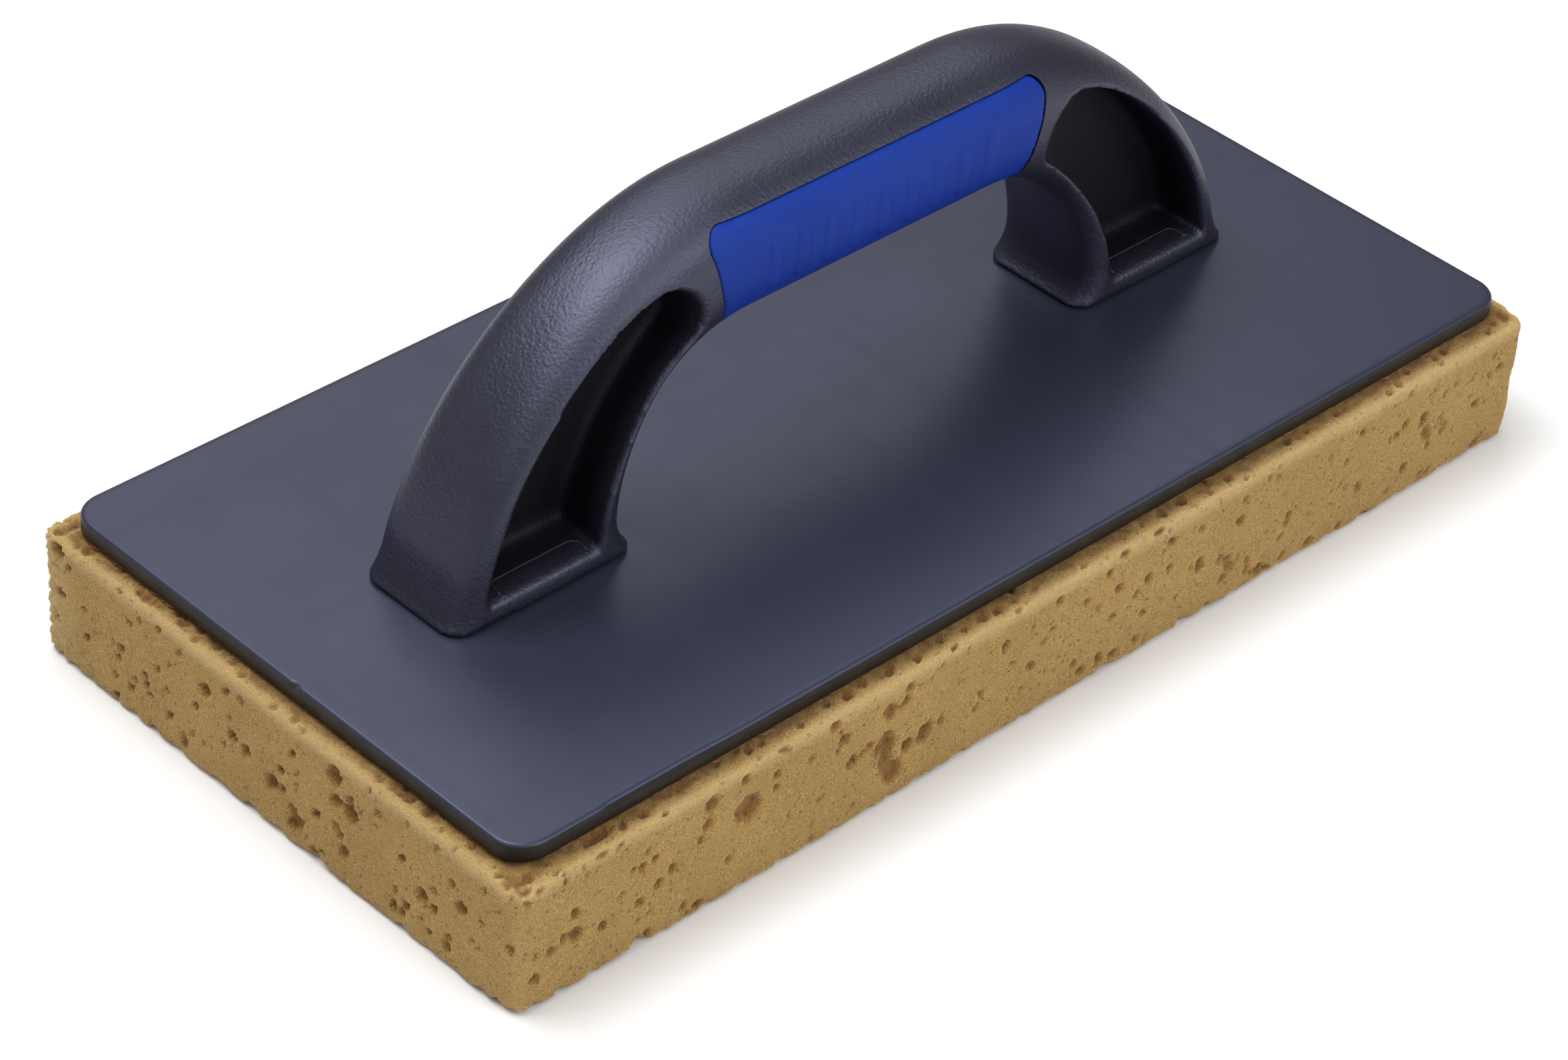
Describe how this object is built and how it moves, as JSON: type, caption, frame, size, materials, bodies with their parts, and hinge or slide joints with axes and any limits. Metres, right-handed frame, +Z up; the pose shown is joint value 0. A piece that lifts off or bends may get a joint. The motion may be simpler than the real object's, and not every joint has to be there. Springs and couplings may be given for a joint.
{
  "type": "grout sponge float",
  "caption": "Tiler's sponge float for washing off grout: rectangular sponge pad under a stiff plastic plate, with a moulded bow handle that has a soft grip insert.",
  "frame": {"origin": "centre of the sponge's working face, on the surface the float rests on", "axes": "+X along the float's length and its handle, +Y across it, +Z up from the working face to the handle"},
  "size_m": [0.28, 0.14, 0.1014],
  "materials": {
    "sponge": "open-cell hydrophilic sponge, tan, matt, with scattered larger holes",
    "adhesive": "thin translucent film of contact adhesive",
    "plate_plastic": "dark blue-grey plastic, smooth satin top",
    "handle_plastic": "dark blue-grey plastic with a fine leather grain",
    "soft_grip": "blue soft-touch thermoplastic elastomer, satin",
    "screw_steel": "zinc-plated steel"
  },
  "bodies": {
    "root": {"sponge_pad": "sponge", "adhesive_film": "adhesive", "base_plate": "plate_plastic", "handle_body": "handle_plastic", "grip_insert": "soft_grip", "screw_left_inner": "screw_steel", "screw_left_outer": "screw_steel", "screw_right_inner": "screw_steel", "screw_right_outer": "screw_steel"}
  },
  "joints": []
}
